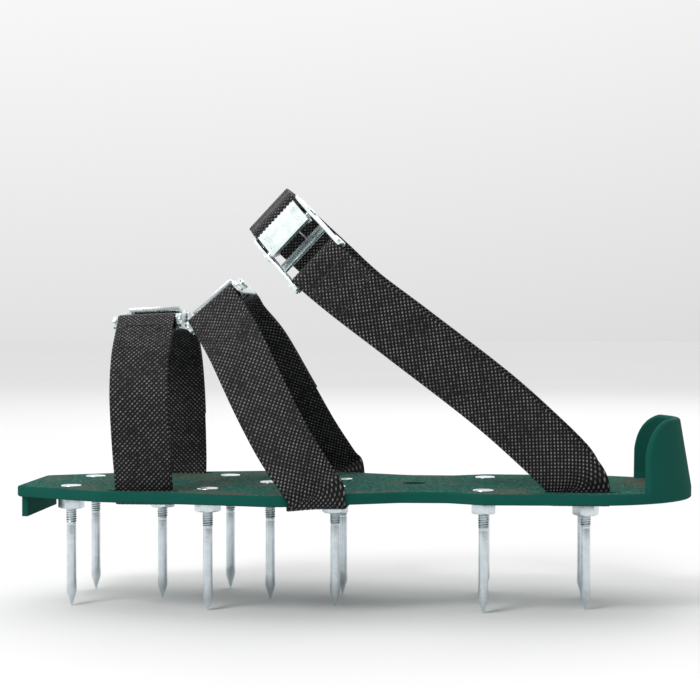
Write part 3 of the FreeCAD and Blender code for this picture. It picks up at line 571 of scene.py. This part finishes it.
def woven_band(name, route, pierced):
    """Closed band of webbing along a route, both faces woven, with round holes where spikes
    pierce it."""
    centre, side = as_arrays(route)
    spot, way, normal, marks = evenly(centre, side, FLOAT_LONG / FLOAT_STEPS)
    rows, lines = len(marks), 2 * YARN_COLUMNS + 1
    offset = (np.arange(lines) / (lines - 1) - 0.5) * STRAP_WIDE
    flat = spot[:, None] + way[:, None] * offset[None, :, None]
    faces_at = [flat + sign * normal[:, None] * weave_height(marks, flip)[..., None]
                for sign, flip in ((1, 0), (-1, 1))]
    middle = (flat[1:, 1:] + flat[:-1, :-1]) / 2
    gone = np.zeros((rows - 1, lines - 1), bool)
    for x, y in pierced:
        near_hole = np.hypot(middle[..., 0] - x, middle[..., 1] - y) < PIERCED_ROUND
        gone |= near_hole & (middle[..., 2] < DECK_UNDER)
        for sheet in faces_at:
            ring = np.hypot(sheet[..., 0] - x, sheet[..., 1] - y)
            inside = (ring < PIERCED_ROUND) & (ring > 0.5) & (sheet[..., 2] < DECK_UNDER)
            scale = (PIERCED_ROUND / ring)[inside]
            sheet[inside, 0] = x + (sheet[inside, 0] - x) * scale
            sheet[inside, 1] = y + (sheet[inside, 1] - y) * scale

    index = np.arange(rows * lines).reshape(rows, lines)
    low = index + rows * lines
    faces = []
    for i in range(rows - 1):
        for j in range(lines - 1):
            if gone[i, j]:
                continue
            a, b, c, d = index[i, j], index[i, j + 1], index[i + 1, j + 1], index[i + 1, j]
            faces.append((a, b, c, d))
            faces.append((low[i, j], low[i + 1, j], low[i + 1, j + 1], low[i, j + 1]))
            for u, v, di, dj in ((0, 1, -1, 0), (1, 2, 0, 1), (2, 3, 1, 0), (3, 0, 0, -1)):
                m, n = i + di, j + dj
                beyond = not (0 <= m < rows - 1 and 0 <= n < lines - 1)
                if beyond or gone[m, n]:
                    top = (a, b, c, d)
                    faces.append((top[v], top[u], top[u] + rows * lines, top[v] + rows * lines))
    points = np.concatenate([sheet.reshape(-1, 3) for sheet in faces_at])
    used = np.unique(np.concatenate([np.array(f) for f in faces]))
    slot_of = np.full(len(points), -1)
    slot_of[used] = np.arange(len(used))
    faces = [tuple(int(slot_of[k]) for k in f) for f in faces]
    across = np.tile(offset + STRAP_WIDE / 2, (rows, 1)).ravel()
    length = np.repeat(marks, lines)
    chart = np.column_stack([np.tile(across, 2), np.r_[length, length + FLOAT_LONG / 2]])[used]
    piece = add_piece(name, points[used], faces, WEBBING)
    weave = piece.data.uv_layers.new(name="weave")
    corners = np.zeros(len(piece.data.loops), int)
    piece.data.loops.foreach_get("vertex_index", corners)
    weave.data.foreach_set("uv", chart[corners].ravel())
    return piece, (spot, way, normal, marks)


def stitch_shape(half_long, round_, steps=6, sides=6):
    """Points and faces of one stitch, a spindle along x that bulges in z."""
    points, faces = [(-half_long, 0, 0)], []
    for i in range(1, steps):
        a = math.pi * i / steps
        for k in range(sides):
            b = 2 * math.pi * k / sides
            points.append((-half_long * math.cos(a), round_ * math.sin(a) * math.cos(b),
                           round_ * math.sin(a) * math.sin(b)))
    points.append((half_long, 0, 0))
    tip = len(points) - 1
    for k in range(sides):
        m = (k + 1) % sides
        faces.append((0, 1 + m, 1 + k))
        faces.append((tip, tip - sides + k, tip - sides + m))
        for i in range(steps - 2):
            low = 1 + i * sides
            faces.append((low + k, low + m, low + sides + m, low + sides + k))
    return np.array(points), faces


def box_stitches(low, high):
    """Middles and directions of the stitches of a crossed box, as (across, along) pairs."""
    reach = STRAP_WIDE / 2 - STITCH_INSET
    corners = [Vector(c) for c in ((-reach, low), (reach, low), (reach, high), (-reach, high))]
    runs = [(corners[i], corners[(i + 1) % 4]) for i in range(4)]
    runs += [(corners[0], corners[2]), (corners[1], corners[3])]
    found = []
    for a, b in runs:
        count = max(2, round((b - a).length / STITCH_PITCH))
        found += [(a.lerp(b, (k + 0.5) / count), (b - a).normalized()) for k in range(count)]
    return found


def stitched_box(name, band, low, high):
    """Sewing of a lapped end, a crossed box of stitches on one outer face of the lap."""
    spot, way, normal, marks = band
    shape, shape_faces = stitch_shape(STITCH_LONG, STITCH_ROUND)
    points, faces = [], []
    for (across, along), (da, dl) in box_stitches(low, high):
        i = int(np.searchsorted(marks, along))
        i = min(max(i, 1), len(marks) - 2)
        run = spot[i + 1] - spot[i - 1]
        run /= np.linalg.norm(run)
        x = way[i] * da + run * dl
        z = normal[i]
        y = np.cross(z, x)
        base = spot[i] + way[i] * across + z * (STRAP_THICK / 2 - STITCH_SUNK)
        first = len(points)
        points += [base + x * p[0] + y * p[1] + z * p[2] for p in shape]
        faces += [tuple(first + k for k in f) for f in shape_faces]
    return add_piece(name, points, faces, THREAD)


def make_strap(which, strap):
    """Woven strap with its sewn lap below the buckle's bar."""
    route, sewn_count, turn_end = strap_route(strap)
    name = f"{which}_strap"
    piece, band = woven_band(f"{name}_webbing", route, strap["pierced"])
    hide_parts(name)
    centre, _ = as_arrays(route)
    run = np.r_[0, np.cumsum(np.linalg.norm(np.diff(centre, axis=0), axis=1))]
    lap_end, bar_end = run[sewn_count - 1], run[turn_end]
    inner = stitched_box(f"{name}_stitches_inside", band, BOX_FROM_END, lap_end - BOX_FROM_BAR)
    outer = stitched_box(f"{name}_stitches_outside", band, bar_end + BOX_FROM_BAR,
                         bar_end + lap_end - BOX_FROM_END)


# ---------------------------------------------------------------- buckles


def make_spring(which, strap):
    """Round-wire torsion spring on the hinge pin."""
    buckle = Buckle(strap)
    pin_y, pin_z = PIN
    foot_y, foot_z = WIRE_FOOT_Y, BRACE[1] + WIRE_ROUND + WIRE_PLAY
    reach = math.hypot(pin_y - foot_y, pin_z - foot_z)
    start = math.atan2(pin_z - foot_z, pin_y - foot_y) + math.asin(COIL_ROUND / reach) + math.pi / 2
    end = math.pi - 2 * math.pi * COIL_TURNS
    path = [buckle.at(COIL_X, foot_y, foot_z)]
    steps = 28 * COIL_TURNS
    for k in range(steps + 1):
        angle = start + (end - start) * k / steps
        x = COIL_X - COIL_PITCH * (start - angle) / (2 * math.pi)
        path.append(buckle.at(x, pin_y + COIL_ROUND * math.cos(angle),
                              pin_z + COIL_ROUND * math.sin(angle)))
    (rear_y, rear_z), (front_y, front_z) = LEVER_UNDER_REAR, LEVER_UNDER_FRONT
    under_lever = rear_z + (front_z - rear_z) * (pin_y - COIL_ROUND - rear_y) / (front_y - rear_y)
    path.append(buckle.at(x, pin_y - COIL_ROUND, under_lever - WIRE_ROUND - WIRE_PLAY))
    points, faces = tube(path, WIRE_ROUND)
    spring = add_piece(f"{which}_spring_wire", points, faces, WIRE, body=None,
                       node=f"{which}_cam_spring")
    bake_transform(spring)


def make_lever_marks(which, strap):
    """Two pairs of pressed arcs that stiffen the lever's plate near its ends."""
    buckle = Buckle(strap)
    (rear_y, rear_z), (front_y, front_z) = LEVER_TOP_REAR, LEVER_TOP_FRONT
    points, faces = [], []
    for side in (-1, 1):
        for inset, bow in RIBS:
            path = []
            for k in range(RIB_STEPS + 1):
                t = 0.25 + 0.5 * k / RIB_STEPS
                x = side * (LEVER_HALF_WIDE - inset - bow * math.sin(math.pi * k / RIB_STEPS))
                path.append(buckle.at(x, rear_y + (front_y - rear_y) * t,
                                      rear_z + (front_z - rear_z) * t))
            more, more_faces = tube(path, RIB_ROUND, 8)
            faces += [tuple(len(points) + k for k in f) for f in more_faces]
            points += more
    add_piece(f"{which}_lever_ribs", points, faces, ZINC_BUCKLE, body=f"{which}_cam")


def make_buckle(which, strap):
    softened(f"{which}_buckle_frame", EDGE_FRAME, ZINC_BUCKLE)
    softened(f"{which}_cam_lever", EDGE_LEVER, ZINC_BUCKLE, body=f"{which}_cam")
    softened(f"{which}_hinge_pin", EDGE_PIN, ZINC_BUCKLE)
    make_spring(which, strap)
    make_lever_marks(which, strap)


# ---------------------------------------------------------------- spikes and nuts


def spike_rings():
    """(radius, height, thread share) rings of a spike from its point up to its head."""
    rings = [(0.12, 0.05, 0), (0.3, 0.35, 0), (TIP_ROUND, TIP_LONG, 0), (SHANK_ROUND, SHANK_START, 0)]
    rings += [(SHANK_ROUND, 20, 0), (SHANK_ROUND, 28, 0), (SHANK_ROUND, THREAD_START - 0.6, 0)]
    steps = int((HEAD_UNDER - THREAD_START) / THREAD_PITCH * 8)
    for k in range(steps + 1):
        z = THREAD_START + (HEAD_UNDER - THREAD_START) * k / steps
        rings.append((THREAD_ROOT, z, min(1, (z - THREAD_START) / THREAD_RUN_IN)))
    rings += [(HEAD_ROUND - HEAD_SOFT, HEAD_UNDER, 0), (HEAD_ROUND, HEAD_UNDER + HEAD_SOFT, 0),
              (HEAD_ROUND, HEAD_TOP - HEAD_EDGE, 0)]
    for k in range(1, 5):
        a = math.pi / 2 * k / 4
        rings.append((HEAD_ROUND - HEAD_EDGE * (1 - math.cos(a)),
                      HEAD_TOP - HEAD_EDGE + HEAD_DOME * math.sin(a), 0))
    rings.append((HEAD_ROUND * 0.5, HEAD_TOP - 0.01, 0))
    return rings


def make_spike(number):
    """Turned spike with a rolled thread and a flat head."""
    node = f"spike_{number:02d}"
    low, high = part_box(node)
    middle = (low + high) / 2 / MM
    sides = SPIKE_SIDES
    points, faces = [], []
    rings = spike_rings()
    for radius, z, thread in rings:
        for k in range(sides):
            share = (z / THREAD_PITCH - k / sides + number * 0.37) % 1.0
            ridge = 1 - abs(2 * share - 1)
            r = radius + thread * (THREAD_CREST - THREAD_ROOT) * ridge
            a = 2 * math.pi * k / sides
            points.append((middle.x + r * math.cos(a), middle.y + r * math.sin(a), z))
    for i in range(len(rings) - 1):
        low_ring = i * sides
        faces += [(low_ring + k, low_ring + (k + 1) % sides, low_ring + sides + (k + 1) % sides,
                   low_ring + sides + k) for k in range(sides)]
    points += [(middle.x, middle.y, 0), (middle.x, middle.y, HEAD_TOP)]
    top = (len(rings) - 1) * sides
    for k in range(sides):
        m = (k + 1) % sides
        faces += [(m, k, len(points) - 2), (top + k, top + m, len(points) - 1)]
    piece = add_piece(f"{node}_steel", points, faces, ZINC_SPIKE, node=node)
    piece.data.set_sharp_from_angle(angle=math.radians(50))


# ---------------------------------------------------------------- studio


def make_floor():
    mesh = bpy.data.meshes.new("studio_floor")
    half = 8.0
    mesh.from_pydata([(-half, -half, 0), (half, -half, 0), (half, half, 0), (-half, half, 0)], [],
                     [(0, 1, 2, 3)])
    mesh.materials.append(floor_material())
    floor = bpy.data.objects.new("studio_floor", mesh)
    bpy.context.scene.collection.objects.link(floor)


def make_light(name, place, target, size, power):
    """Square soft light that faces a point."""
    lamp = bpy.data.lights.new(name, "AREA")
    lamp.size, lamp.energy = size, power
    lamp_object = bpy.data.objects.new(name, lamp)
    lamp_object.location = place
    lamp_object.rotation_euler = (Vector(target) - Vector(place)).to_track_quat("-Z", "Y").to_euler()
    bpy.context.scene.collection.objects.link(lamp_object)


def make_surroundings():
    """Pale surroundings, brighter overhead and behind to the left than in front to the right, so that
    the steel has a dark side."""
    world = bpy.data.worlds.new("studio_white")
    world.use_nodes = True
    tree = world.node_tree
    place = tree.nodes.new("ShaderNodeTexCoord")
    strength = None
    for way, low, high in (((0, 0, 1), 0.06, 1.12), ((-0.70, 0.71, 0), 0.45, 1.32)):
        toward = tree.nodes.new("ShaderNodeVectorMath")
        toward.operation = "DOT_PRODUCT"
        toward.inputs[1].default_value = way
        spread = tree.nodes.new("ShaderNodeMapRange")
        spread.interpolation_type = "SMOOTHSTEP"
        for key, value in (("From Min", -1.0), ("From Max", 1.0), ("To Min", low), ("To Max", high)):
            spread.inputs[key].default_value = value
        tree.links.new(place.outputs["Generated"], toward.inputs[0])
        tree.links.new(toward.outputs["Value"], spread.inputs["Value"])
        if strength:
            product = tree.nodes.new("ShaderNodeMath")
            product.operation = "MULTIPLY"
            tree.links.new(strength, product.inputs[0])
            tree.links.new(spread.outputs["Result"], product.inputs[1])
            strength = product.outputs[0]
        else:
            strength = spread.outputs["Result"]
    tree.links.new(strength, tree.nodes["Background"].inputs["Strength"])
    tree.nodes["Background"].inputs["Color"].default_value = (1, 1, 1, 1)
    bpy.context.scene.world = world


def make_studio():
    make_floor()
    make_surroundings()
    middle = (0, 0, 0.08)
    make_light("key_light", (-0.9, -1.3, 1.5), middle, 0.7, 19)
    make_light("fill_light", (1.3, -1.1, 0.8), middle, 1.4, 1.2)
    make_light("back_light", (0.2, 1.5, 1.3), middle, 1.2, 7)
    bpy.context.scene.view_settings.view_transform = "Standard"


def make_camera():
    """Nearly level view of the near side, turned a little towards the heel."""
    target, distance = Vector((-3, 0, 112.2)) * MM, 0.850
    turn, lift = math.radians(4.7), math.radians(1.1)
    back = Vector((math.sin(turn) * math.cos(lift), -math.cos(turn) * math.cos(lift), math.sin(lift)))
    camera = bpy.data.objects.new("camera", bpy.data.cameras.new("camera"))
    camera.data.sensor_width, camera.data.lens = 36, 97.7
    camera.data.clip_start = 0.05
    camera.location = target + back * distance
    camera.rotation_euler = (-back).to_track_quat("-Z", "Y").to_euler()
    bpy.context.scene.collection.objects.link(camera)
    bpy.context.scene.camera = camera


make_camera()
paint("sole_plate", PLASTIC)
for which, strap in STRAPS.items():
    make_strap(which, strap)
    make_buckle(which, strap)
for number in range(1, SPIKE_COUNT + 1):
    make_spike(number)
    softened(f"nut_{number:02d}", EDGE_NUT, ZINC_SPIKE)
make_studio()
